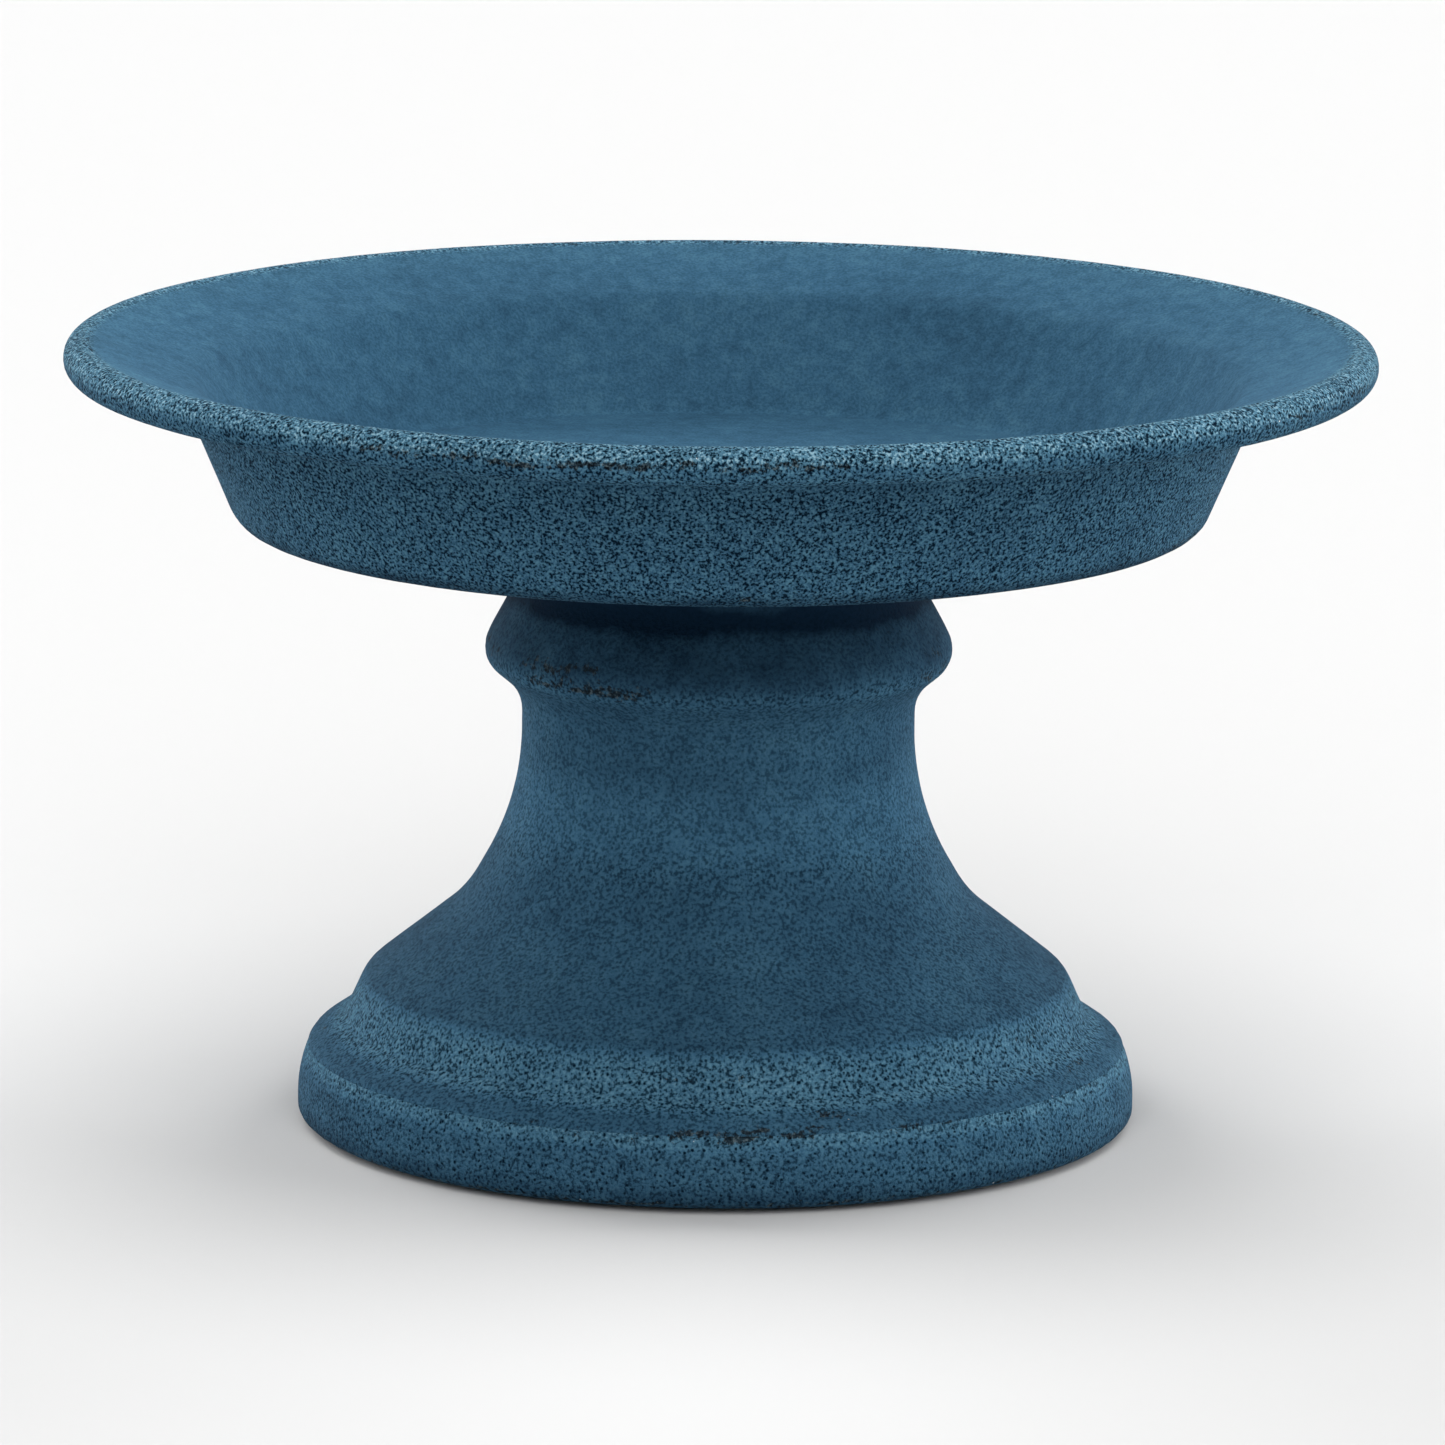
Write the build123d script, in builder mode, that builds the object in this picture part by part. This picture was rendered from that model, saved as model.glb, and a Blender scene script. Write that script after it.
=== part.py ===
from build123d import *
import os
from math import cos, radians, sin, tan

# A two-piece pedestal bird bath in painted cast aluminium, in millimetres.
# +Z is up and is the axis of every turned shape. The origin is the middle of the
# ground that the rubber feet stand on. A corner of a turned outline is written as
# (radius from the axis, height, fillet radius).

# ---- driving dimensions ------------------------------------------------------
FOOT_PROUD = 1.0  # the feet lift the plinth off the ground by this much

# basin
RIM_R = 127.0  # outside of the rolled rim: the bath is 254 across
RIM_TOP = 154.5
BEAD_R = 3.75  # section radius of the rolled rim
FLANGE_SLOPE = 19.8  # degrees that the flange rises outwards
FLANGE_INNER_R = 101.2  # where the flange turns down into the basin
BASIN_BOTTOM = 118.5
BASIN_BOTTOM_R = 93.5
BASIN_FLOOR = 124.9  # upper face of the floor
BASIN_FLOOR_R = 87.0
SHOULDER_R = 104.2  # where the outer wall meets the flange's underside
SHOULDER_Z = 143.5

# pedestal
SEAT_Z = 117.5  # top face of the collar
BORE_R = 30.0  # socket that takes the spigot
COLLAR_R = 45.5
WAIST_R = 38.3
NOTCH_R = 72.6  # quirk between the skirt and the base torus
NOTCH_Z = 20.6
CREASE_R = 79.8  # joint between pedestal and plinth
CREASE_Z = 15.0

# plinth
PLINTH_R = 81.8
PLINTH_BORE_R = 55.0
PLINTH_HEAD_SEAT = 6.0  # height where the plinth screws' heads bear

# seat
GASKET_IN_R = 33.3
GASKET_OUT_R = 38.7
GASKET_T = 2.0
GROOVE_DEPTH = 1.0
GROOVE_GAP = 0.3  # clearance each side of the gasket in its groove

# spigot ring
SPIGOT_R = 29.5
SPIGOT_WALL = 3.0
SPIGOT_BOTTOM = 104.5
SPIGOT_WEB = 4.0
SPIGOT_BORE_R = 14.0

# fasteners: (shank radius, head radius, head height)
M4_R, M4_HEAD_R, M4_HEAD_H = 2.0, 3.8, 2.6
M3_R, M3_HEAD_R, M3_HEAD_H = 1.5, 2.8, 1.6
THREAD_GAP = 0.05  # plain hole round a plain shank, standing in for the thread
SHANK_GAP = 0.2  # clearance hole round a shank
HEAD_GAP = 0.6  # pocket round a head, wide enough for a driver
TIP_GAP = 0.5  # drilled depth beyond a screw's tip
SPIGOT_SCREW_CIRCLE_R = 20.0
SPIGOT_SCREW_BITE = 4.0  # thread length in the basin's floor
PLINTH_SCREW_CIRCLE_R = 63.0
PLINTH_SCREW_BITE = 10.0
BOSS_R = 5.0
BOSS_TOP = 27.5
SCREW_COUNT = 4

# feet
FOOT_CIRCLE_R = 69.0
FOOT_R = 7.3
FOOT_T = 3.0
FOOT_POCKET_R = 7.6
FOOT_FIRST_ANGLE = 45.0
FOOT_COUNT = 4
FOOT_HEAD_SEAT = 2.0  # height where a foot screw's head bears on the rubber
FOOT_SCREW_BITE = 7.0

# ---- values worked out from them ---------------------------------------------
BEAD_AXIS_R = RIM_R - BEAD_R
BEAD_AXIS_Z = RIM_TOP - BEAD_R
SLOPE = radians(FLANGE_SLOPE)
# the flange's upper face runs off the bead as a tangent
FLANGE_TOP_R = BEAD_AXIS_R - BEAD_R * sin(SLOPE)
FLANGE_TOP_Z = BEAD_AXIS_Z + BEAD_R * cos(SLOPE)
FLANGE_INNER_Z = FLANGE_TOP_Z - (FLANGE_TOP_R - FLANGE_INNER_R) * tan(SLOPE)
FLANGE_UNDER_Z = SHOULDER_Z + (BEAD_AXIS_R - SHOULDER_R) * tan(SLOPE)
SPIGOT_WEB_BOTTOM = BASIN_BOTTOM - SPIGOT_WEB
GASKET_BOTTOM = SEAT_Z - GROOVE_DEPTH


# ---- shared outlines ---------------------------------------------------------
def turned(corners):
    """A closed half-section in the XZ plane, ready to revolve about Z."""
    with BuildSketch(Plane.XZ) as section:
        with BuildLine():
            FilletPolyline(
                *[(r, z) for r, z, fillet_r in corners],
                radius=[fillet_r for r, z, fillet_r in corners],
                close=True,
            )
        make_face()
    return section.sketch


def pan_head_screws(circle_r, head_bottom, tip, shank_r, head_r, head_h, first=0.0):
    """Upright pan-head screws on a circle, heads down, each with a hexagon socket."""
    with BuildPart() as screws:
        with BuildSketch(Plane.XY.offset(head_bottom)):
            with PolarLocations(circle_r, SCREW_COUNT, start_angle=first):
                Circle(head_r)
                RegularPolygon(shank_r, 6, mode=Mode.SUBTRACT)
        extrude(amount=head_h / 2)
        with BuildSketch(Plane.XY.offset(head_bottom + head_h / 2)):
            with PolarLocations(circle_r, SCREW_COUNT, start_angle=first):
                Circle(head_r)
        extrude(amount=head_h / 2)
        fillet(screws.edges().filter_by(GeomType.CIRCLE).group_by(Axis.Z)[0], head_h * 0.3)
        with BuildSketch(Plane.XY.offset(head_bottom + head_h)):
            with PolarLocations(circle_r, SCREW_COUNT, start_angle=first):
                Circle(shank_r)
        extrude(amount=tip - head_bottom - head_h)
    return screws.part


os.makedirs("parts", exist_ok=True)

# ---- basin: floor, sloping wall, flange and rolled rim -----------------------
basin_section = [
    (0, BASIN_BOTTOM, 0),
    (BASIN_BOTTOM_R, BASIN_BOTTOM, 5.3),
    (SHOULDER_R, SHOULDER_Z, 1.0),
    (BEAD_AXIS_R, FLANGE_UNDER_Z, 0),
    (FLANGE_TOP_R, FLANGE_TOP_Z, 0),
    (FLANGE_INNER_R, FLANGE_INNER_Z, 6.0),
    (BASIN_FLOOR_R, BASIN_FLOOR, 2.3),
    (0, BASIN_FLOOR, 0),
]
with BuildPart() as basin:
    with BuildSketch(Plane.XZ):
        add(turned(basin_section))
        with Locations((BEAD_AXIS_R, BEAD_AXIS_Z)):
            Circle(BEAD_R)
    revolve(axis=Axis.Z)
    # blind holes in the underside for the spigot ring's screws
    with BuildSketch(Plane.XY.offset(BASIN_BOTTOM)):
        with PolarLocations(SPIGOT_SCREW_CIRCLE_R, SCREW_COUNT):
            Circle(M4_R + THREAD_GAP)
    extrude(amount=SPIGOT_SCREW_BITE + TIP_GAP, mode=Mode.SUBTRACT)
basin.part.label = "basin"
export_step(basin.part, "parts/basin.step")

# ---- spigot ring: the turned cup under the floor that centres the basin ------
spigot_section = [
    (SPIGOT_BORE_R, SPIGOT_WEB_BOTTOM, 0),
    (SPIGOT_R - SPIGOT_WALL, SPIGOT_WEB_BOTTOM, 1.5),
    (SPIGOT_R - SPIGOT_WALL, SPIGOT_BOTTOM, 0.5),
    (SPIGOT_R, SPIGOT_BOTTOM, 1.2),
    (SPIGOT_R, BASIN_BOTTOM, 0),
    (SPIGOT_BORE_R, BASIN_BOTTOM, 0),
]
with BuildPart() as spigot_ring:
    with BuildSketch(Plane.XZ):
        add(turned(spigot_section))
    revolve(axis=Axis.Z)
    with BuildSketch(Plane.XY.offset(SPIGOT_WEB_BOTTOM)):
        with PolarLocations(SPIGOT_SCREW_CIRCLE_R, SCREW_COUNT):
            Circle(M4_R + SHANK_GAP)
    extrude(amount=SPIGOT_WEB, mode=Mode.SUBTRACT)
spigot_ring.part.label = "spigot_ring"
export_step(spigot_ring.part, "parts/spigot_ring.step")

# ---- spigot screws: heads inside the cup, tips in the basin's floor ----------
spigot_screws = pan_head_screws(
    SPIGOT_SCREW_CIRCLE_R,
    SPIGOT_WEB_BOTTOM - M4_HEAD_H,
    BASIN_BOTTOM + SPIGOT_SCREW_BITE,
    M4_R,
    M4_HEAD_R,
    M4_HEAD_H,
)
spigot_screws.label = "spigot_screws"
export_step(spigot_screws, "parts/spigot_screws.step")

# ---- seat gasket: loose rubber ring in the collar's groove -------------------
gasket_section = [
    (GASKET_IN_R, GASKET_BOTTOM, 0.3),
    (GASKET_OUT_R, GASKET_BOTTOM, 0.3),
    (GASKET_OUT_R, GASKET_BOTTOM + GASKET_T, 0.5),
    (GASKET_IN_R, GASKET_BOTTOM + GASKET_T, 0.5),
]
with BuildPart() as seat_gasket:
    with BuildSketch(Plane.XZ):
        add(turned(gasket_section))
    revolve(axis=Axis.Z)
seat_gasket.part.label = "seat_gasket"
export_step(seat_gasket.part, "parts/seat_gasket.step")

# ---- pedestal: collar, waist, ogee skirt and base torus, hollow --------------
pedestal_section = [
    # outside, from the joint with the plinth up to the seat
    (CREASE_R, CREASE_Z, 0.25),
    (79.2, 16.1, 2.2),
    (NOTCH_R, NOTCH_Z, 0.4),
    (68.8, 29.0, 8.2),
    (49.6, 44.1, 26.5),
    (WAIST_R, 63.8, 53.0),
    (WAIST_R, 85.2, 8.8),
    (COLLAR_R, 91.2, 4.7),
    (COLLAR_R, 95.2, 6.0),
    (38.8, 107.6, 7.0),
    (42.0, 114.6, 1.5),
    (42.0, SEAT_Z, 0.8),
    # groove for the gasket
    (GASKET_OUT_R + GROOVE_GAP, SEAT_Z, 0),
    (GASKET_OUT_R + GROOVE_GAP, GASKET_BOTTOM, 0),
    (GASKET_IN_R - GROOVE_GAP, GASKET_BOTTOM, 0),
    (GASKET_IN_R - GROOVE_GAP, SEAT_Z, 0),
    # inside, from the socket's mouth down to the foot
    (BORE_R, SEAT_Z, 0.8),
    (BORE_R, 99.0, 1.0),
    (33.2, 95.0, 4.0),
    (33.2, 62.6, 48.0),
    (45.4, 41.2, 22.0),
    (64.4, 26.2, 5.0),
    (68.0, 18.4, 1.5),
    (73.2, CREASE_Z, 0),
]
with BuildPart() as pedestal:
    with BuildSketch(Plane.XZ):
        add(turned(pedestal_section))
    revolve(axis=Axis.Z)
    # bosses inside the foot for the plinth's screws
    with BuildSketch(Plane.XY.offset(CREASE_Z)):
        with PolarLocations(PLINTH_SCREW_CIRCLE_R, SCREW_COUNT):
            Circle(BOSS_R)
    extrude(amount=BOSS_TOP - CREASE_Z)
    with BuildSketch(Plane.XY.offset(CREASE_Z)):
        with PolarLocations(PLINTH_SCREW_CIRCLE_R, SCREW_COUNT):
            Circle(M4_R + THREAD_GAP)
    extrude(amount=PLINTH_SCREW_BITE + TIP_GAP, mode=Mode.SUBTRACT)
pedestal.part.label = "pedestal"
export_step(pedestal.part, "parts/pedestal.step")

# ---- plinth ring: the heavy lowest band, screwed on from below ---------------
plinth_section = [
    (PLINTH_BORE_R, FOOT_PROUD, 1.0),
    (PLINTH_R, FOOT_PROUD, 2.2),
    (PLINTH_R, 9.2, 24.0),
    (CREASE_R, CREASE_Z, 0.25),
    (PLINTH_BORE_R, CREASE_Z, 1.0),
]
with BuildPart() as plinth_ring:
    with BuildSketch(Plane.XZ):
        add(turned(plinth_section))
    revolve(axis=Axis.Z)
    # clearance holes and head pockets for the plinth screws
    with BuildSketch(Plane.XY.offset(FOOT_PROUD)):
        with PolarLocations(PLINTH_SCREW_CIRCLE_R, SCREW_COUNT):
            Circle(M4_HEAD_R + HEAD_GAP)
    extrude(amount=PLINTH_HEAD_SEAT - FOOT_PROUD, mode=Mode.SUBTRACT)
    with BuildSketch(Plane.XY.offset(PLINTH_HEAD_SEAT)):
        with PolarLocations(PLINTH_SCREW_CIRCLE_R, SCREW_COUNT):
            Circle(M4_R + SHANK_GAP)
    extrude(amount=CREASE_Z - PLINTH_HEAD_SEAT, mode=Mode.SUBTRACT)
    # pockets and screw holes for the feet
    with BuildSketch(Plane.XY.offset(FOOT_PROUD)):
        with PolarLocations(FOOT_CIRCLE_R, FOOT_COUNT, start_angle=FOOT_FIRST_ANGLE):
            Circle(FOOT_POCKET_R)
    extrude(amount=FOOT_T - FOOT_PROUD, mode=Mode.SUBTRACT)
    with BuildSketch(Plane.XY.offset(FOOT_T)):
        with PolarLocations(FOOT_CIRCLE_R, FOOT_COUNT, start_angle=FOOT_FIRST_ANGLE):
            Circle(M3_R + THREAD_GAP)
    extrude(amount=FOOT_SCREW_BITE + TIP_GAP, mode=Mode.SUBTRACT)
plinth_ring.part.label = "plinth_ring"
export_step(plinth_ring.part, "parts/plinth_ring.step")

# ---- plinth screws -----------------------------------------------------------
plinth_screws = pan_head_screws(
    PLINTH_SCREW_CIRCLE_R,
    PLINTH_HEAD_SEAT - M4_HEAD_H,
    CREASE_Z + PLINTH_SCREW_BITE,
    M4_R,
    M4_HEAD_R,
    M4_HEAD_H,
)
plinth_screws.label = "plinth_screws"
export_step(plinth_screws, "parts/plinth_screws.step")

# ---- feet: rubber discs with a recess for the screw's head -------------------
for number in range(FOOT_COUNT):
    turn = radians(FOOT_FIRST_ANGLE + number * 360 / FOOT_COUNT)
    centre = (FOOT_CIRCLE_R * cos(turn), FOOT_CIRCLE_R * sin(turn))
    with BuildPart() as foot:
        with BuildSketch():
            with Locations(centre):
                Circle(FOOT_R)
        extrude(amount=FOOT_T)
        fillet(foot.edges().group_by(Axis.Z)[0], 0.6)
        with BuildSketch():
            with Locations(centre):
                Circle(M3_HEAD_R + HEAD_GAP)
        extrude(amount=FOOT_HEAD_SEAT, mode=Mode.SUBTRACT)
        with BuildSketch(Plane.XY.offset(FOOT_HEAD_SEAT)):
            with Locations(centre):
                Circle(M3_R + SHANK_GAP)
        extrude(amount=FOOT_T - FOOT_HEAD_SEAT, mode=Mode.SUBTRACT)
    foot.part.label = f"foot_{number + 1}"
    export_step(foot.part, f"parts/foot_{number + 1}.step")

# ---- foot screws -------------------------------------------------------------
foot_screws = pan_head_screws(
    FOOT_CIRCLE_R,
    FOOT_HEAD_SEAT - M3_HEAD_H,
    FOOT_T + FOOT_SCREW_BITE,
    M3_R,
    M3_HEAD_R,
    M3_HEAD_H,
    FOOT_FIRST_ANGLE,
)
foot_screws.label = "foot_screws"
export_step(foot_screws, "parts/foot_screws.step")
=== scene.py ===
import random
from math import acos, atan2, ceil, cos, degrees, hypot, pi, radians, sin, tan

import bpy
import numpy as np
from mathutils import Matrix, Vector, noise


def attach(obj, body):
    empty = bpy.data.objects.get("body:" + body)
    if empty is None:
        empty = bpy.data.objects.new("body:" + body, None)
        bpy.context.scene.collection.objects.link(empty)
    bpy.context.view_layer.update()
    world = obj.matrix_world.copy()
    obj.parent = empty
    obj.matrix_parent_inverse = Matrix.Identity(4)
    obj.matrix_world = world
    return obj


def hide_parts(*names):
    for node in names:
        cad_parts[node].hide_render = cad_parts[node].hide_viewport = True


# A bird bath of cast aluminium in sand-textured blue paint over a dark undercoat. The
# three painted castings are turned here as fine meshes, with the unevenness and the
# rubbed edges of sand castings. The other pieces are the CAD nodes. Outlines are in
# millimetres, as (radius, height) about the +Z axis.

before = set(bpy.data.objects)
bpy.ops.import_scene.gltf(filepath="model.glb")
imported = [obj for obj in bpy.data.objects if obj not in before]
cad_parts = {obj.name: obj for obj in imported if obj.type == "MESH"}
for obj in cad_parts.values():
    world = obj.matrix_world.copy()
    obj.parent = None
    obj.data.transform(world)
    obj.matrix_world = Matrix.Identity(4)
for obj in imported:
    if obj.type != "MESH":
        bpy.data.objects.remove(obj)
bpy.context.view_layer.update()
MM = 0.001

# ---- camera ------------------------------------------------------------------
AIM = Vector((0, 0, 78.5 * MM))
CAMERA_DISTANCE = 2.024
CAMERA_ELEVATION = radians(11.4)
CAMERA_ROLL = radians(0.45)
VIEW_WIDTH = 0.2812  # what the frame takes in at the aim point
SENSOR = 36.0
FRAME_SHIFT = 0.003


def add_camera():
    data = bpy.data.cameras.new("camera")
    data.sensor_width = SENSOR
    data.lens = SENSOR * CAMERA_DISTANCE / VIEW_WIDTH
    data.shift_x = FRAME_SHIFT
    data.clip_start = 0.1
    data.clip_end = 50
    camera = bpy.data.objects.new("camera", data)
    bpy.context.scene.collection.objects.link(camera)
    back = Vector((0, -cos(CAMERA_ELEVATION), sin(CAMERA_ELEVATION)))
    tilt = Matrix.Rotation(pi / 2 - CAMERA_ELEVATION, 4, "X")
    roll = Matrix.Rotation(CAMERA_ROLL, 4, "Z")
    camera.matrix_world = Matrix.Translation(AIM + back * CAMERA_DISTANCE) @ tilt @ roll
    bpy.context.scene.camera = camera


add_camera()


# ---- node helpers ------------------------------------------------------------
NOISE_RANGE = (0.3, 0.7)  # nearly all of a noise texture's values


class Shader:
    """Builds one material's node tree; sockets and plain numbers mix freely."""

    def __init__(self, name):
        self.material = bpy.data.materials.new(name)
        self.material.use_nodes = True
        self.tree = self.material.node_tree
        self.surface = self.tree.nodes["Principled BSDF"]
        self.place = self.add("ShaderNodeTexCoord").outputs["Object"]

    def add(self, kind, **properties):
        node = self.tree.nodes.new(kind)
        for name, value in properties.items():
            setattr(node, name, value)
        return node

    def feed(self, socket, value):
        if isinstance(value, bpy.types.NodeSocket):
            self.tree.links.new(value, socket)
        elif isinstance(value, tuple) and len(value) == 3 and socket.type == "RGBA":
            socket.default_value = (*value, 1.0)
        else:
            socket.default_value = value

    def math(self, operation, a, b=0.0, clamp=False):
        node = self.add("ShaderNodeMath", operation=operation, use_clamp=clamp)
        self.feed(node.inputs[0], a)
        self.feed(node.inputs[1], b)
        return node.outputs[0]

    def span(self, value, low, high, to_low, to_high, blend="LINEAR"):
        """Carries low to high over to to_low to to_high, and goes no further."""
        node = self.add("ShaderNodeMapRange", interpolation_type=blend)
        self.feed(node.inputs["Value"], value)
        limits = {"From Min": low, "From Max": high, "To Min": to_low, "To Max": to_high}
        for name, number in limits.items():
            node.inputs[name].default_value = number
        return node.outputs[0]

    def step(self, value, low, high):
        """0 below low, 1 above high, smooth between; low above high turns it over."""
        if low > high:
            return self.span(value, high, low, 1.0, 0.0, "SMOOTHSTEP")
        return self.span(value, low, high, 0.0, 1.0, "SMOOTHSTEP")

    def swing(self, noise_value, reach):
        """Carries a noise's usual range over to -reach to reach."""
        return self.span(noise_value, *NOISE_RANGE, -reach, reach)

    def attribute(self, name):
        return self.add("ShaderNodeAttribute", attribute_name=name).outputs["Fac"]

    def red(self, colour):
        node = self.add("ShaderNodeSeparateColor")
        self.feed(node.inputs[0], colour)
        return node.outputs[0]

    def mix(self, share, a, b):
        node = self.add("ShaderNodeMix", data_type="RGBA")
        self.feed(node.inputs["Factor"], share)
        self.feed(node.inputs[6], a)
        self.feed(node.inputs[7], b)
        return node.outputs[2]

    def noise(self, size, detail=2.0, roughness=0.5, place=None):
        """Noise whose lumps are about size across, in millimetres."""
        node = self.add("ShaderNodeTexNoise")
        self.feed(node.inputs["Vector"], place or self.place)
        node.inputs["Scale"].default_value = 1 / (size * MM)
        node.inputs["Detail"].default_value = detail
        node.inputs["Roughness"].default_value = roughness
        return node

    def cells(self, size, feature="F1", place=None):
        """Voronoi cells about size across, in millimetres."""
        node = self.add("ShaderNodeTexVoronoi", feature=feature)
        self.feed(node.inputs["Vector"], place or self.place)
        node.inputs["Scale"].default_value = 1 / (size * MM)
        return node

    def shifted(self, amount, size):
        """The surface's place, pushed about by noise: amount and size in millimetres."""
        centred = self.add("ShaderNodeVectorMath", operation="SUBTRACT")
        self.feed(centred.inputs[0], self.noise(size).outputs["Color"])
        centred.inputs[1].default_value = (0.5, 0.5, 0.5)
        scaled = self.add("ShaderNodeVectorMath", operation="SCALE")
        self.feed(scaled.inputs[0], centred.outputs[0])
        scaled.inputs["Scale"].default_value = 2 * amount * MM
        moved = self.add("ShaderNodeVectorMath", operation="ADD")
        self.feed(moved.inputs[0], self.place)
        self.feed(moved.inputs[1], scaled.outputs[0])
        return moved.outputs[0]

    def bump(self, height, depth, strength=1.0):
        """height runs from 0 to 1 over depth, in millimetres."""
        node = self.add("ShaderNodeBump")
        node.inputs["Strength"].default_value = strength
        node.inputs["Distance"].default_value = depth * MM
        self.feed(node.inputs["Height"], height)
        self.feed(self.surface.inputs["Normal"], node.outputs[0])


# ---- paint -------------------------------------------------------------------
PAINT = (0.0325, 0.096, 0.161)
# colour of painted highlight, which also pales the random mottle and the grains' crests
PAINT_PALE_AND_HIGHLIGHT = (0.088, 0.212, 0.292)
# colour of painted shade, which also darkens the random mottle
PAINT_DARK_AND_SHADE = (0.004, 0.0155, 0.034)
PIT = (0.0008, 0.0075, 0.0170)
# grain tops painted pale as lit, where the painted highlight is
GRAIN_HIGHLIGHT = (0.22, 0.36, 0.44)
UNDERCOAT = (0.0100, 0.0150, 0.0190)
UNDERCOAT_PALE = (0.066, 0.090, 0.100)
PIT_UNDERCOAT = (0.0020, 0.0036, 0.0048)
BARE_METAL = (0.80, 0.80, 0.79)
# sizes of what varies over the paint, in millimetres
CLOUD_SIZE = 26  # slow fading
CROWD_SIZE = 7  # where the hollows crowd together
BLOTCH_SIZE = 4.5
DROWNED_SIZE = 2.6  # shapes of the grains seen under thick paint
RUBBED_EDGE_SIZE = 1.1
CHIP_SIZE = 3.6  # spacing of the cells that may hold a chip down to metal
RELIEF = 0.25  # how far the bump runs up and down
# from where a thing begins to where it is full
HOLLOW_LEVELS = (0.52, 0.35)  # of the sand's noise, and so the next two
CREST_LEVELS = (0.50, 0.70)
BARE_GRAIN_LEVELS = (0.56, 0.68)
PIT_LEVELS = (0.40, 0.10)  # of the distance to a cell's centre
RUBBED_LEVELS = (0.38, 0.72)  # of "worn" with noise added
# shares and finish
CELL_TO_SAND = 1.8  # size of a pit's cell against the sand's
FILLED_SHARE = 0.12  # what is left of the grain where "smooth" is 1
CHIPLESS_SHARE = 0.72  # cells without a chip
CHIP_R = 0.05  # in cells
PAINT_ROUGHNESS = 0.9
METAL_ROUGHNESS = 0.3
PAINT_GLOSS = 0.03


def sand_paint(name, sand_size, grain_shade, grain_highlight_share, hollow_shade):
    """Matt blue paint over sand: close dark hollows, pale grains, worn places, painted
    highlights and painted shade. The mesh says where: its shading mark is a painted highlight
    above 0 and painted shade below, "worn" is rubbed through to the undercoat at 1, and
    "smooth" is where the hollows are filled at 1."""
    s = Shader(name)
    painted_shading, worn, smooth = (s.attribute(kind) for kind in ("painted_shading", "worn", "smooth"))
    place = s.shifted(0.2, 0.8)
    crowd = s.noise(CROWD_SIZE, 3, 0.6).outputs["Fac"]
    cloud = s.noise(CLOUD_SIZE, 3, 0.55).outputs["Fac"]
    blotch = s.noise(BLOTCH_SIZE, 3, 0.6).outputs["Fac"]
    faint = s.span(smooth, 0, 1, 1.0, FILLED_SHARE)

    sand = s.noise(sand_size, 1.5, 0.55, place).outputs["Fac"]
    level = s.math("ADD", sand, s.swing(crowd, -0.02))
    hollow = s.math("MULTIPLY", s.step(level, *HOLLOW_LEVELS), hollow_shade)
    cell = s.cells(sand_size * CELL_TO_SAND, place=place).outputs["Distance"]
    near = s.math("ADD", cell, s.swing(sand, 0.1))
    pit = s.step(near, *PIT_LEVELS)
    depth = s.math("MULTIPLY", s.math("MAXIMUM", hollow, pit), faint)
    crest = s.math("MULTIPLY", s.step(level, *CREST_LEVELS), faint)

    patches = s.math("ADD", s.swing(cloud, 0.1), s.swing(blotch, 0.1))
    drowned = s.swing(s.noise(DROWNED_SIZE, 1, 0.5).outputs["Fac"], 0.1)
    mottle = s.math("ADD", patches, s.math("MULTIPLY", drowned, smooth))
    # painted highlight comes in here with the random mottle, where the shading mark is above 0
    lift = s.math("ADD", s.math("MAXIMUM", mottle, 0.0), s.span(painted_shading, 0, 1, 0, 1))
    pale = s.math("ADD", lift, s.math("MULTIPLY", crest, grain_shade), clamp=True)
    # painted shade comes in here with the random mottle, where the shading mark is below 0
    dark = s.math("ADD", s.span(mottle, 0, -0.2, 0, 0.25), s.span(painted_shading, 0, -1, 0, 1), clamp=True)
    base = s.mix(dark, s.mix(pale, PAINT, PAINT_PALE_AND_HIGHLIGHT), PAINT_DARK_AND_SHADE)
    # grain tops painted as lit, only where the shading mark is above 0
    bare_grain = s.math("MULTIPLY", s.step(level, *BARE_GRAIN_LEVELS), faint)
    grain_highlight = s.math("MULTIPLY", bare_grain, s.span(painted_shading, 0.05, 0.45, 0, grain_highlight_share))
    base = s.mix(grain_highlight, base, GRAIN_HIGHLIGHT)
    painted = s.mix(depth, base, PIT)

    broken = s.swing(s.noise(RUBBED_EDGE_SIZE, 3, 0.7, place).outputs["Fac"], 0.5)
    rubbed = s.step(s.math("ADD", worn, broken), *RUBBED_LEVELS)
    bared = s.mix(crest, s.mix(depth, UNDERCOAT, PIT_UNDERCOAT), UNDERCOAT_PALE)
    colour = s.mix(s.math("MULTIPLY", rubbed, 0.9), painted, bared)

    chip = s.cells(CHIP_SIZE, place=place)
    lone = s.math("GREATER_THAN", s.red(chip.outputs["Color"]), CHIPLESS_SHARE)
    speck = s.math("LESS_THAN", chip.outputs["Distance"], CHIP_R)
    glint = s.math("MULTIPLY", s.math("MULTIPLY", lone, speck), s.step(worn, 0.03, 0.2))
    colour = s.mix(glint, colour, BARE_METAL)

    s.feed(s.surface.inputs["Base Color"], colour)
    s.feed(s.surface.inputs["Metallic"], glint)
    s.feed(s.surface.inputs["Roughness"], s.span(glint, 0, 1, PAINT_ROUGHNESS, METAL_ROUGHNESS))
    s.surface.inputs["Specular IOR Level"].default_value = PAINT_GLOSS
    raised = s.math("MULTIPLY", crest, 0.4)
    sunk = s.math("ADD", s.math("MULTIPLY", depth, 0.6), s.math("MULTIPLY", rubbed, 0.2))
    s.bump(s.math("SUBTRACT", raised, sunk), RELIEF, 0.8)
    return s.material


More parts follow.
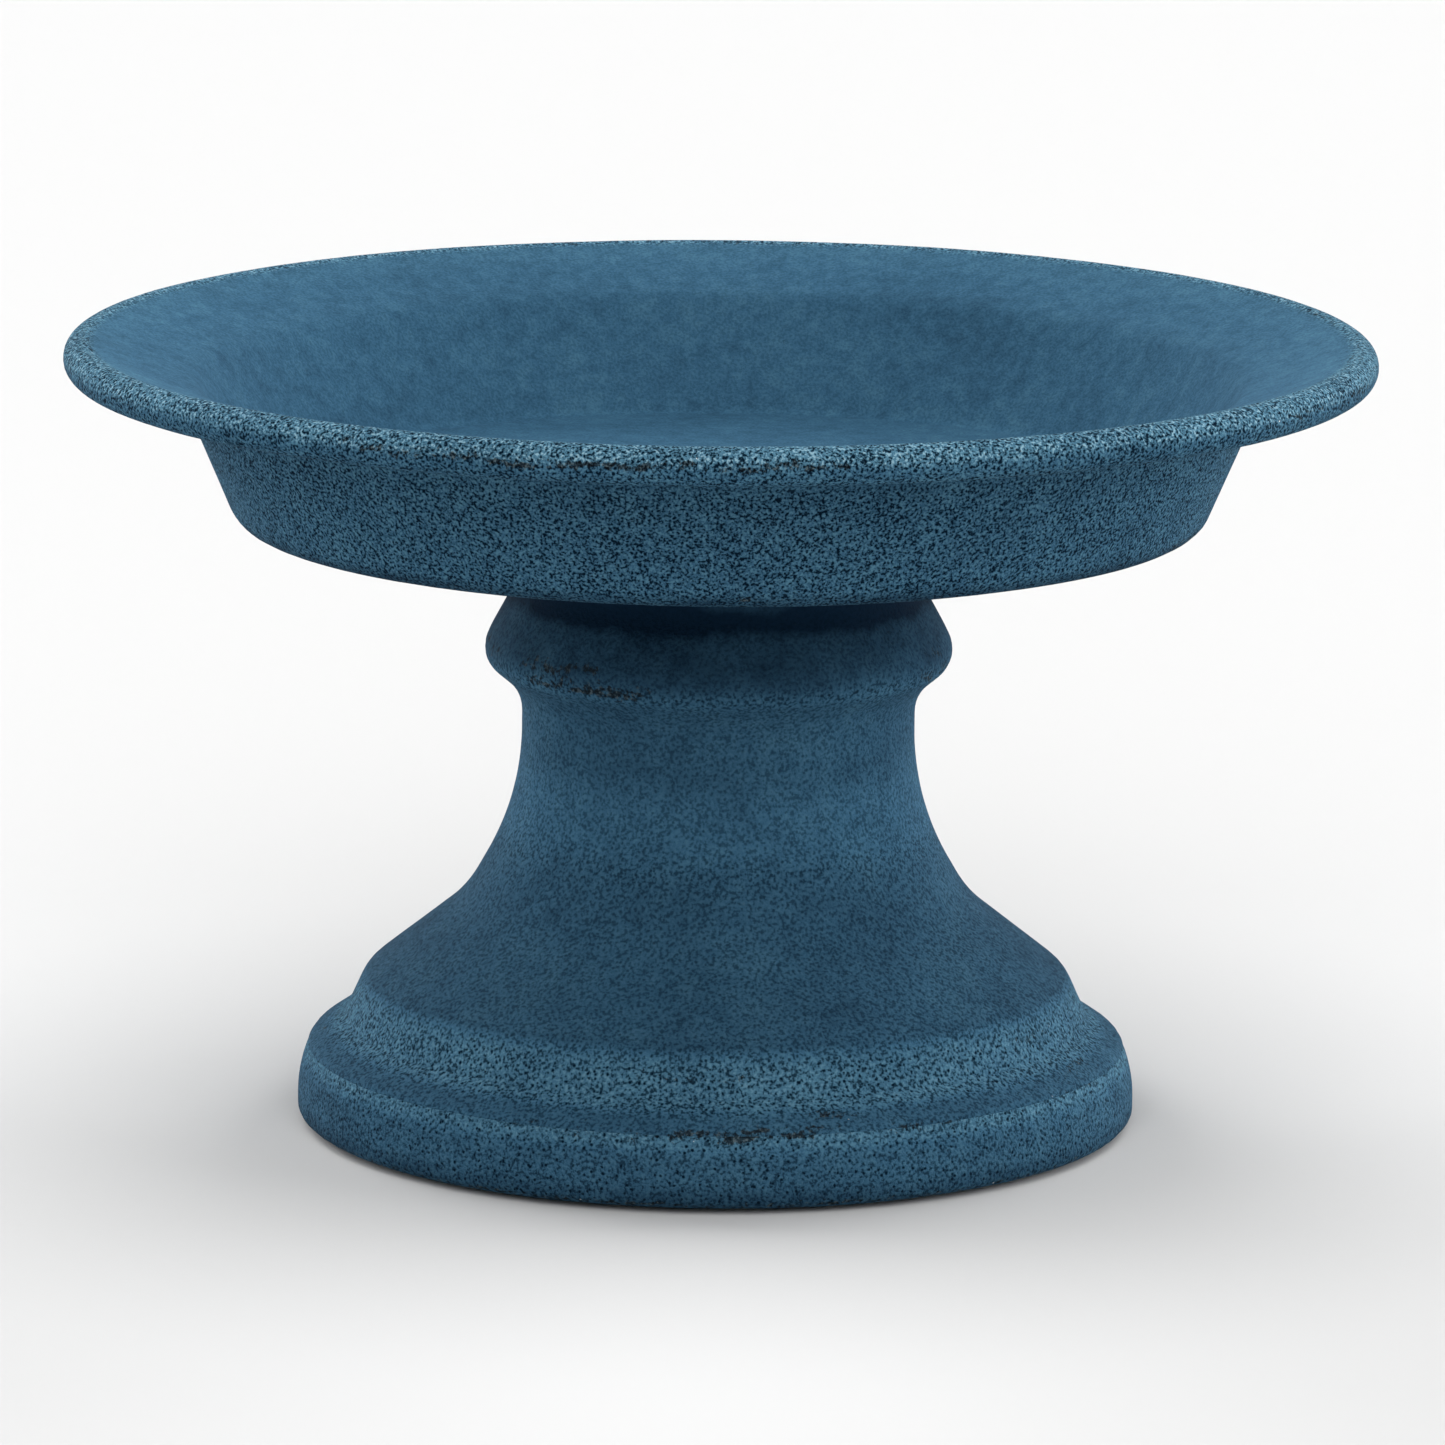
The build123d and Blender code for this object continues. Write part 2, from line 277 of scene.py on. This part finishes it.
# ---- other materials ---------------------------------------------------------
RUBBER_SHADES = (0.012, 0.012, 0.013), (0.035, 0.034, 0.033)
ALUMINIUM_SHADES = (0.42, 0.42, 0.42), (0.62, 0.62, 0.61)
ZINC_SHADES = (0.42, 0.42, 0.45), (0.66, 0.66, 0.66)
LATHE_RING_SIZE = 6


def rubber():
    s = Shader("black_rubber")
    mottle = s.noise(5, 4, 0.6).outputs["Fac"]
    s.feed(s.surface.inputs["Base Color"], s.mix(mottle, *RUBBER_SHADES))
    s.feed(s.surface.inputs["Roughness"], s.span(mottle, *NOISE_RANGE, 0.65, 0.85))
    s.bump(s.noise(0.8, 3).outputs["Fac"], 0.05)
    return s.material


def turned_aluminium():
    """Machined casting: fine lathe rings round the axis, dulled in patches."""
    s = Shader("turned_aluminium")
    rings = s.add("ShaderNodeTexWave", wave_type="RINGS", rings_direction="Z")
    s.feed(rings.inputs["Vector"], s.place)
    rings.inputs["Scale"].default_value = 1 / (LATHE_RING_SIZE * MM)
    rings.inputs["Distortion"].default_value = 0.4
    dull = s.noise(9, 4, 0.6).outputs["Fac"]
    s.feed(s.surface.inputs["Base Color"], s.mix(dull, *ALUMINIUM_SHADES))
    s.surface.inputs["Metallic"].default_value = 1.0
    s.feed(s.surface.inputs["Roughness"], s.span(dull, *NOISE_RANGE, 0.35, 0.55))
    s.bump(rings.outputs["Fac"], 0.02)
    return s.material


def zinc_steel():
    s = Shader("zinc_steel")
    bloom = s.noise(2.5, 5, 0.6).outputs["Fac"]
    s.feed(s.surface.inputs["Base Color"], s.mix(bloom, *ZINC_SHADES))
    s.surface.inputs["Metallic"].default_value = 1.0
    s.feed(s.surface.inputs["Roughness"], s.span(bloom, *NOISE_RANGE, 0.25, 0.5))
    s.bump(s.noise(0.4, 2).outputs["Fac"], 0.01)
    return s.material


# ---- turned outlines ---------------------------------------------------------
FLANGE_SLOPE = radians(19.8)
BEAD_R = 3.75
BEAD_AXIS = (123.25, 150.75)
SHOULDER = (104.2, 143.5)
FLANGE_INNER_R = 101.2
BASIN_BOTTOM = 118.5
BASIN_BOTTOM_R = 93.5
BASIN_FLOOR = 124.9
BASIN_FLOOR_R = 87.0
SEAT_Z = 117.5
CREASE = (79.8, 15.0)
CREASE_EDGE = 0.12  # rounding of the two edges that meet there
PLINTH_R = 81.8
PLINTH_BORE_R = 55.0
PLINTH_BOTTOM = 1.0
# holes, pockets and bosses for the hidden screws and the feet
SPIGOT_SCREW_CIRCLE_R = 20.0
PLINTH_SCREW_CIRCLE_R = 63.0
FOOT_CIRCLE_R = 69.0
FOOT_FIRST_ANGLE = 45
M4_HOLE_R = 2.05
M4_CLEAR_R = 2.2
M4_HEAD_POCKET_R = 4.4
M3_HOLE_R = 1.55
BOSS_R = 5.0
BOSS_TOP = 27.5
BOSS_GAP = 0.05  # between the bosses and the joint's plane
SPIGOT_HOLE_DEPTH = 4.5
PLINTH_HOLE_DEPTH = 10.5
PLINTH_HEAD_SEAT = 6.0
FOOT_POCKET_R = 7.6
FOOT_POCKET_TOP = 3.0
FOOT_HOLE_TOP = 10.5
OVERCUT = 1.0  # how far a cutter runs past the face it opens
# mesh steps along the outlines
FINE = 1.4
COARSE = 3.5
BEAD_STEP = 0.8
FLOOR_STEP = 2.4
JOINT_BAND = 0.6  # next to the crease the castings only move level, so no gap opens


def run(a, b, step):
    """Points from a towards b, b left out."""
    count = max(1, ceil(hypot(b[0] - a[0], b[1] - a[1]) / step))
    return [(a[0] + (b[0] - a[0]) * k / count, a[1] + (b[1] - a[1]) * k / count) for k in range(count)]


def arc(centre, radius, start, end, step):
    """Points on an arc between two angles, both ends in."""
    count = max(3, ceil(abs(end - start) * radius / step), ceil(abs(end - start) / radians(12)))
    angles = [start + (end - start) * k / count for k in range(count + 1)]
    return [(centre[0] + radius * cos(a), centre[1] + radius * sin(a)) for a in angles]


def rounded(corners, closed=False):
    """An outline through (r, z, fillet radius, mesh step) corners, rounded at each."""
    points, total = [], len(corners)
    for i, (r, z, fillet, step) in enumerate(corners):
        here = Vector((r, z))
        between = closed or 0 < i < total - 1
        if fillet == 0 or not between:
            bend = [(r, z)]
        else:
            back = (Vector(corners[i - 1][:2]) - here).normalized()
            ahead = (Vector(corners[(i + 1) % total][:2]) - here).normalized()
            half = back.angle(ahead) / 2
            centre = here + (back + ahead).normalized() * (fillet / sin(half))
            start = here + back * (fillet / tan(half)) - centre
            end = here + ahead * (fillet / tan(half)) - centre
            first = atan2(start.y, start.x)
            sweep = (atan2(end.y, end.x) - first + pi) % (2 * pi) - pi
            bend = arc(centre, fillet, first, first + sweep, FINE)
        if points:
            points += run(points[-1], bend[0], step)[1:]
        points += bend
    if closed:
        points += run(points[-1], points[0], corners[0][3])[1:]
    return points


def basin_outline():
    """Underside, wall, flange's underside, rolled rim, flange, inner wall, floor."""
    bead_r, bead_z = BEAD_AXIS
    down = FLANGE_SLOPE - pi / 2
    offset = (SHOULDER[0] - bead_r) * cos(down) + (SHOULDER[1] - bead_z) * sin(down)
    meet = down - acos(offset / BEAD_R)
    bead = arc(BEAD_AXIS, BEAD_R, meet, pi / 2 + FLANGE_SLOPE, BEAD_STEP)
    under = rounded([(0, BASIN_BOTTOM, 0, COARSE), (BASIN_BOTTOM_R, BASIN_BOTTOM, 5.3, COARSE),
                     (*SHOULDER, 1.0, FINE), (*bead[0], 0, FINE)])
    flange_inner_z = bead[-1][1] - (bead[-1][0] - FLANGE_INNER_R) * tan(FLANGE_SLOPE)
    inside = rounded([(*bead[-1], 0, FINE), (FLANGE_INNER_R, flange_inner_z, 6.0, FINE),
                      (BASIN_FLOOR_R, BASIN_FLOOR, 2.3, FINE), (0, BASIN_FLOOR, 0, FLOOR_STEP)])
    return under[:-1] + bead + inside[1:]


PEDESTAL_CORNERS = [
    (*CREASE, CREASE_EDGE, COARSE),
    (79.2, 16.1, 2.2, FINE),
    (72.6, 20.6, 0.4, FINE),
    (68.8, 29.0, 8.2, FINE),
    (49.6, 44.1, 26.5, FINE),
    (38.3, 63.8, 53.0, FINE),
    (38.3, 85.2, 8.8, FINE),
    (45.5, 91.2, 4.7, FINE),
    (45.5, 95.2, 6.0, FINE),
    (38.8, 107.6, 7.0, FINE),
    (42.0, 114.6, 1.5, FINE),
    (42.0, SEAT_Z, 0.8, FINE),
    (39.0, SEAT_Z, 0, FINE),
    (39.0, 116.5, 0, FINE),
    (33.0, 116.5, 0, FINE),
    (33.0, SEAT_Z, 0, FINE),
    (30.0, SEAT_Z, 0.8, FINE),
    (30.0, 99.0, 1.0, COARSE),
    (33.2, 95.0, 4.0, FINE),
    (33.2, 62.6, 48.0, COARSE),
    (45.4, 41.2, 22.0, COARSE),
    (64.4, 26.2, 5.0, COARSE),
    (68.0, 18.4, 1.5, COARSE),
    (73.2, CREASE[1], 0, COARSE),
]
PLINTH_CORNERS = [
    (PLINTH_BORE_R, PLINTH_BOTTOM, 1.0, COARSE),
    (PLINTH_R, PLINTH_BOTTOM, 2.2, FINE),
    (PLINTH_R, 9.2, 24.0, FINE),
    (*CREASE, CREASE_EDGE, FINE),
    (PLINTH_BORE_R, CREASE[1], 1.0, COARSE),
]


# ---- turned meshes -----------------------------------------------------------
def lathe(name, outline, segments, closed):
    """A mesh turned about +Z from an outline; points on the axis are one vertex each."""
    angles = np.arange(segments) * 2 * pi / segments
    ring = np.stack([np.cos(angles), np.sin(angles)], 1)
    vertices, starts = [], []
    for r, z in outline:
        on_axis = r < 1e-6
        starts.append((len(vertices), on_axis))
        if on_axis:
            vertices.append((0, 0, z * MM))
        else:
            vertices += [(x * r * MM, y * r * MM, z * MM) for x, y in ring]
    faces = []
    pairs = list(zip(starts, starts[1:] + starts[:1]))
    for (a, a_axis), (b, b_axis) in pairs if closed else pairs[:-1]:
        for k in range(segments):
            j = (k + 1) % segments
            if a_axis:
                faces.append((a, b + j, b + k))
            elif b_axis:
                faces.append((a + k, a + j, b))
            else:
                faces.append((a + k, a + j, b + j, b + k))
    mesh = bpy.data.meshes.new(name)
    mesh.from_pydata(vertices, [], faces)
    mesh.validate()
    piece = bpy.data.objects.new(name, mesh)
    bpy.context.scene.collection.objects.link(piece)
    return piece


def front_angle(x, y):
    """Degrees round the axis from the front, -Y, positive towards +X."""
    return degrees(atan2(x, -y))


# rubbed patches round the axis, in degrees from the front
PATCH_FADE = 6
PATCH_STARTS = range(-175, 175, 38)
HALF_PATCH = 15  # roughly
FRONT_HALF = 62  # nearer the front than this the patches are listed, not drawn at random


def inside_patch(angle, patches):
    """How far inside a rubbed patch an angle lies, from 0 to the patch's strength."""
    best = 0.0
    for start, end, strength in patches:
        into = min(angle - start, end - angle)
        best = max(best, strength * min(1.0, max(0.0, into / PATCH_FADE)))
    return best


def rubbed_bands(bands, seed):
    """Adds patches at the sides and back to each band's (r, z, reach, front patches).
    A patch is (first degree, last degree, strength)."""
    rng = random.Random(seed)
    filled = []
    for r, z, reach, patches in bands:
        more = []
        for start in PATCH_STARTS:
            if abs(start + HALF_PATCH) > FRONT_HALF:
                first = start + rng.uniform(-8, 8)
                last = first + rng.uniform(10, 34)
                strength = rng.uniform(0.35, 0.9)
                more.append((first, last, strength))
        filled.append((r, z, reach, [*patches, *more]))
    return filled


def stroke_share(r, z, start, end, reach):
    """1 on the stroke of an outline from start to end, falling to 0 at reach from it."""
    along = Vector((end[0] - start[0], end[1] - start[1]))
    out = Vector((r - start[0], z - start[1]))
    t = 0.0
    if along.length_squared > 0:
        t = min(1.0, max(0.0, out.dot(along) / along.length_squared))
    off = (out - along * t).length / reach
    return (1 - off * off) ** 2 if off < 1 else 0.0


# depths and sizes of the castings' unevenness
WAVE_DEPTH = 0.14
WAVE_SIZE = 34
LUMP_DEPTH = 0.05
LUMP_SIZE = 5.5
DENT_DEPTH = 0.2
# a rubbed band wanders up and down and is broken by flat gaps
STREAK_SIZE = 9
STREAK_SWING = 0.9  # of the band's reach
GAP_LENGTH = 3
GAP_HEIGHT = 1.2
GAP_MEAN = 0.62
GAP_SWING = 0.9
# the strokes' painted light and shade varies from place to place
PAINTED_SHADING_SIZE = 14
PAINTED_SHADING_SWING = 0.35


def weather(piece, rubbed, shading_and_smooth_strokes):
    """Presses casting waves, lumps and rubbed dents into a turned mesh, inwards only, and
    marks it for the paint. rubbed comes from rubbed_bands; the last argument holds strokes of
    the outline as (start, end, reach, painted shading, smooth), the painted shading being a
    painted highlight above 0 and painted shade below."""
    mesh = piece.data
    count = len(mesh.vertices)
    place = np.empty(count * 3, np.float32)
    normal = np.empty(count * 3, np.float32)
    mesh.vertices.foreach_get("co", place)
    mesh.vertex_normals.foreach_get("vector", normal)
    place, normal = place.reshape(-1, 3), normal.reshape(-1, 3)
    marks = {kind: np.zeros(count, np.float32) for kind in ("worn", "painted_shading", "smooth")}
    depth = np.zeros(count, np.float32)
    profile = {}
    for i, (x, y, z) in enumerate(place / MM):
        here = Vector((x, y, z))
        r = hypot(x, y)
        worn = 0.0
        for band_r, band_z, reach, patches in rubbed:
            if abs(r - band_r) + abs(z - band_z) > 3 * reach:
                continue
            streak = noise.noise(here / STREAK_SIZE + Vector((band_z, 0, 0)))
            off = hypot(r - band_r, z - band_z - STREAK_SWING * streak * reach) / reach
            if off < 1:
                gaps = noise.noise(Vector((x / GAP_LENGTH, y / GAP_LENGTH, z / GAP_HEIGHT)))
                patch = inside_patch(front_angle(x, y), patches)
                worn = max(worn, (1 - off) ** 0.5 * patch * (GAP_MEAN + GAP_SWING * gaps))
        marks["worn"][i] = min(1.0, max(0.0, worn))
        ring = (round(r, 2), round(z, 2))
        if ring not in profile:
            # painted highlight and painted shade from the strokes, with where the hollows are filled
            shares = [(stroke_share(*ring, *stroke[:3]), *stroke[3:]) for stroke in shading_and_smooth_strokes]
            profile[ring] = (sum(share * painted_shading for share, painted_shading, smooth in shares),
                             max([share * smooth for share, painted_shading, smooth in shares], default=0))
        painted_shading, smooth = profile[ring]
        patchy = 1 + PAINTED_SHADING_SWING * noise.fractal(here / PAINTED_SHADING_SIZE, 0.8, 2.0, 3)
        marks["painted_shading"][i], marks["smooth"][i] = painted_shading * patchy, smooth
        slow = 0.5 + 0.5 * noise.noise(here / WAVE_SIZE)
        quick = 0.5 + 0.5 * noise.fractal(here / LUMP_SIZE, 0.8, 2.0, 3)
        depth[i] = WAVE_DEPTH * slow + LUMP_DEPTH * quick + DENT_DEPTH * marks["worn"][i]
    at_joint = np.abs(place[:, 2] / MM - CREASE[1]) < JOINT_BAND
    normal[at_joint, 2] = 0
    moved = place - normal * (depth * MM)[:, None]
    mesh.vertices.foreach_set("co", moved.astype(np.float32).ravel())
    for kind, values in marks.items():
        attribute = mesh.attributes.new(kind, "FLOAT", "POINT")
        attribute.data.foreach_set("value", values)
    mesh.update()


POST_COUNT = 4
POST_SIDES = 40


def posts(circle_r, radius, low, high, first=0.0):
    """Upright cylinders on a circle, as one helper object."""
    vertices, faces = [], []
    sides = POST_SIDES
    for n in range(POST_COUNT):
        turn = radians(first) + n * 2 * pi / POST_COUNT
        start = len(vertices)
        for z in (low, high):
            for k in range(sides):
                a = k * 2 * pi / sides
                x = circle_r * cos(turn) + radius * cos(a)
                y = circle_r * sin(turn) + radius * sin(a)
                vertices.append((x * MM, y * MM, z * MM))
        faces.append([start + k for k in reversed(range(sides))])
        faces.append([start + sides + k for k in range(sides)])
        for k in range(sides):
            j = (k + 1) % sides
            faces.append((start + k, start + j, start + sides + j, start + sides + k))
    mesh = bpy.data.meshes.new("posts")
    mesh.from_pydata(vertices, [], faces)
    helper = bpy.data.objects.new("posts", mesh)
    bpy.context.scene.collection.objects.link(helper)
    return helper


def carve(piece, operation, helper):
    """Unites or cuts a helper object, then removes it."""
    modifier = piece.modifiers.new("carve", "BOOLEAN")
    modifier.operation = operation
    modifier.solver = "EXACT"
    modifier.object = helper
    bpy.context.view_layer.update()
    evaluated = piece.evaluated_get(bpy.context.evaluated_depsgraph_get())
    mesh = bpy.data.meshes.new_from_object(evaluated)
    piece.modifiers.clear()
    piece.data = mesh
    mesh.name = piece.name
    bpy.data.objects.remove(helper)


SHARP_ANGLE = radians(32)


def finish_piece(piece, body, node, material):
    piece.data.materials.clear()
    piece.data.materials.append(material)
    piece.data.shade_smooth()
    piece.data.set_sharp_from_angle(angle=SHARP_ANGLE)
    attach(piece, body)
    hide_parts(node)


# ---- the three castings ------------------------------------------------------
def make_basin():
    piece = lathe("basin_casting", basin_outline(), segments=480, closed=False)
    bands = [
        (BEAD_AXIS[0] + BEAD_R, BEAD_AXIS[1] + 0.5, 1.5, [(-36, 17, 0.9), (22, 33, 0.5), (48, 60, 0.6)]),
        (121.6, 154.3, 0.9, [(-70, -52, 0.6), (60, 73, 0.6)]),
        (95.0, 119.6, 1.8, [(-40, -22, 0.5), (-6, 24, 0.7), (40, 58, 0.5)]),
    ]
    flange_foot = (FLANGE_INNER_R, 146.8)
    # painted shade in the basin's floor and inner corner, under the flange and on the basin's underside;
    # painted highlight on the flange's edge and the bead's top; the inside's hollows filled
    shading_and_smooth_strokes = [
        ((0, BASIN_FLOOR), (BASIN_FLOOR_R, BASIN_FLOOR), 8, -0.02, 0.9),
        ((BASIN_FLOOR_R, BASIN_FLOOR), flange_foot, 5, -0.08, 0.9),
        (flange_foot, (115, 152.0), 4, -0.03, 0.9),
        ((115, 152.0), (120, 153.8), 3, 0.08, 0.9),
        ((123.0, 154.5), (126.5, 152.6), 2.6, 0.46, 0.0),
        ((120, 149.2), (105, 143.9), 2.2, -0.12, 0.3),
        ((60, BASIN_BOTTOM), (94.5, 119.5), 2.6, -0.5, 0.0),
    ]
    weather(piece, rubbed_bands(bands, seed=3), shading_and_smooth_strokes)
    hole_top = BASIN_BOTTOM + SPIGOT_HOLE_DEPTH
    holes = posts(SPIGOT_SCREW_CIRCLE_R, M4_HOLE_R, BASIN_BOTTOM - OVERCUT, hole_top)
    carve(piece, "DIFFERENCE", holes)
    paint = sand_paint(
        "blue_sand_paint_basin", sand_size=0.57, grain_shade=0.6, grain_highlight_share=0.9, hollow_shade=1.0)
    finish_piece(piece, "dish", "basin", paint)


def make_pedestal():
    piece = lathe("pedestal_casting", rounded(PEDESTAL_CORNERS, closed=True), segments=360, closed=True)
    bands = [
        (CREASE[0], CREASE[1] + 0.3, 1.6, [(-34, -14, 0.6), (-14, 20, 1.0), (20, 38, 0.7)]),
        (76.5, 18.0, 1.6, [(9, 24, 0.75), (-30, -22, 0.5)]),
        (70.8, 24.0, 1.2, [(-20, 12, 0.5)]),
        (45.4, 92.4, 2.2, [(-58, -14, 0.9), (10, 18, 0.4)]),
        (45.4, 95.8, 1.8, [(-62, -26, 0.8)]),
    ]
    # painted shadow of the basin on the collar, the neck and the shaft's top; painted shade on the ogee,
    # in the notch and above the crease; painted highlight on the torus's top; hollows filled on the
    # collar and shaft
    shading_and_smooth_strokes = [
        ((41, 113), (39.2, 107), 6, -0.75, 0.8),
        ((40.5, 104.5), (45.5, 96), 6, -0.58, 0.6),
        ((39, 88), (38.3, 62), 11, 0.0, 0.5),
        ((38.6, 85), (38.3, 76), 8, -0.2, 0.3),
        ((42, 53), (66, 31), 8, -0.30, 0.42),
        ((68.0, 30.6), (68.3, 30.0), 1.1, -0.4, 0.0),
        ((69.8, 27.0), (73.8, 20.3), 3.3, 0.24, 0.0),
        ((77.4, 18.0), (79.4, 16.0), 2.4, -0.26, 0.4),
    ]
    weather(piece, rubbed_bands(bands, seed=7), shading_and_smooth_strokes)
    joint_z = CREASE[1]
    carve(piece, "UNION", posts(PLINTH_SCREW_CIRCLE_R, BOSS_R, joint_z + BOSS_GAP, BOSS_TOP))
    holes = posts(PLINTH_SCREW_CIRCLE_R, M4_HOLE_R, joint_z - OVERCUT, joint_z + PLINTH_HOLE_DEPTH)
    carve(piece, "DIFFERENCE", holes)
    paint = sand_paint(
        "blue_sand_paint_pedestal", sand_size=0.68, grain_shade=0.3, grain_highlight_share=0.3, hollow_shade=0.85)
    finish_piece(piece, "stand", "pedestal", paint)


def make_plinth():
    piece = lathe("plinth_casting", rounded(PLINTH_CORNERS, closed=True), segments=400, closed=True)
    bands = [
        (CREASE[0] + 0.3, CREASE[1] - 0.5, 1.3, [(-34, -14, 0.6), (-14, 20, 1.0), (20, 38, 0.7)]),
        (PLINTH_R - 0.6, 1.6, 1.3, [(-90, 90, 0.7)]),
    ]
    # painted highlight on the plinth's top edge; painted shade on its side and along its bottom edge
    shading_and_smooth_strokes = [
        ((80.0, 14.6), (80.6, 13.0), 2.2, 0.28, 0.0),
        ((81.4, 11.5), (PLINTH_R, 4), 3.5, -0.20, 0.0),
        ((PLINTH_R, PLINTH_BOTTOM), (PLINTH_R, 3.0), 3.0, -0.35, 0.0),
    ]
    weather(piece, rubbed_bands(bands, seed=11), shading_and_smooth_strokes)
    for circle_r, radius, low, high, first in (
        (PLINTH_SCREW_CIRCLE_R, M4_HEAD_POCKET_R, PLINTH_BOTTOM - OVERCUT, PLINTH_HEAD_SEAT, 0),
        (PLINTH_SCREW_CIRCLE_R, M4_CLEAR_R, PLINTH_HEAD_SEAT - OVERCUT, CREASE[1] + OVERCUT, 0),
        (FOOT_CIRCLE_R, FOOT_POCKET_R, PLINTH_BOTTOM - OVERCUT, FOOT_POCKET_TOP, FOOT_FIRST_ANGLE),
        (FOOT_CIRCLE_R, M3_HOLE_R, FOOT_POCKET_TOP - OVERCUT, FOOT_HOLE_TOP, FOOT_FIRST_ANGLE),
    ):
        carve(piece, "DIFFERENCE", posts(circle_r, radius, low, high, first))
    paint = sand_paint(
        "blue_sand_paint_plinth", sand_size=0.66, grain_shade=0.3, grain_highlight_share=0.3, hollow_shade=0.7)
    finish_piece(piece, "stand", "plinth_ring", paint)


make_basin()
make_pedestal()
make_plinth()


# ---- the CAD nodes that stay -------------------------------------------------
def dress(material, *nodes):
    for node in nodes:
        mesh_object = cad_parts[node]
        mesh_object.data.materials.clear()
        mesh_object.data.materials.append(material)


dress(rubber(), "seat_gasket", "foot_1", "foot_2", "foot_3", "foot_4")
dress(turned_aluminium(), "spigot_ring")
dress(zinc_steel(), "spigot_screws", "plinth_screws", "foot_screws")


# ---- floor and light ---------------------------------------------------------
FLOOR_HALF = 12.0
FLOOR_COLOUR = (0.57, 0.57, 0.57)
BACKDROP_STRENGTH = 0.85  # what the camera sees beyond the floor
SOFT_LIGHTS = [
    # name, degrees from the front towards +X, degrees from overhead, spread, strength
    ("top_light", 0, 0, 60, 0.62),
    ("front_light", 0, 55, 50, 0.62),
    ("left_light", -90, 85, 50, 0.36),
    ("right_light", 90, 85, 50, 0.88),
    ("back_left_light", -135, 75, 50, 1.15),
    ("back_right_light", 135, 75, 50, 0.95),
]


def add_stage():
    mesh = bpy.data.meshes.new("floor")
    corners = [(-1, -1), (1, -1), (1, 1), (-1, 1)]
    mesh.from_pydata([(x * FLOOR_HALF, y * FLOOR_HALF, 0) for x, y in corners], [], [(0, 1, 2, 3)])
    floor = bpy.data.objects.new("floor", mesh)
    bpy.context.scene.collection.objects.link(floor)
    s = Shader("plain_floor")
    s.surface.inputs["Base Color"].default_value = (*FLOOR_COLOUR, 1)
    s.surface.inputs["Roughness"].default_value = 0.9
    s.surface.inputs["Specular IOR Level"].default_value = 0.0
    mesh.materials.append(s.material)


def add_backdrop():
    """A pale surround that the camera sees and that lights nothing."""
    world = bpy.data.worlds.new("studio")
    world.use_nodes = True
    tree = world.node_tree
    background = tree.nodes["Background"]
    seen = tree.nodes.new("ShaderNodeMath")
    seen.operation = "MULTIPLY"
    seen.inputs[1].default_value = BACKDROP_STRENGTH
    tree.links.new(tree.nodes.new("ShaderNodeLightPath").outputs["Is Camera Ray"], seen.inputs[0])
    tree.links.new(seen.outputs[0], background.inputs["Strength"])
    background.inputs["Color"].default_value = (1, 1, 1, 1)
    bpy.context.scene.world = world


def add_lights():
    for name, turn, lean, spread, strength in SOFT_LIGHTS:
        data = bpy.data.lights.new(name, "SUN")
        data.energy = pi * strength
        data.angle = radians(spread)
        light = bpy.data.objects.new(name, data)
        side, down = radians(turn), radians(lean)
        towards = Vector((sin(down) * sin(side), -sin(down) * cos(side), cos(down)))
        light.rotation_euler = towards.to_track_quat("Z", "Y").to_euler()
        bpy.context.scene.collection.objects.link(light)


add_stage()
add_backdrop()
add_lights()
bpy.context.scene.view_settings.view_transform = "Standard"
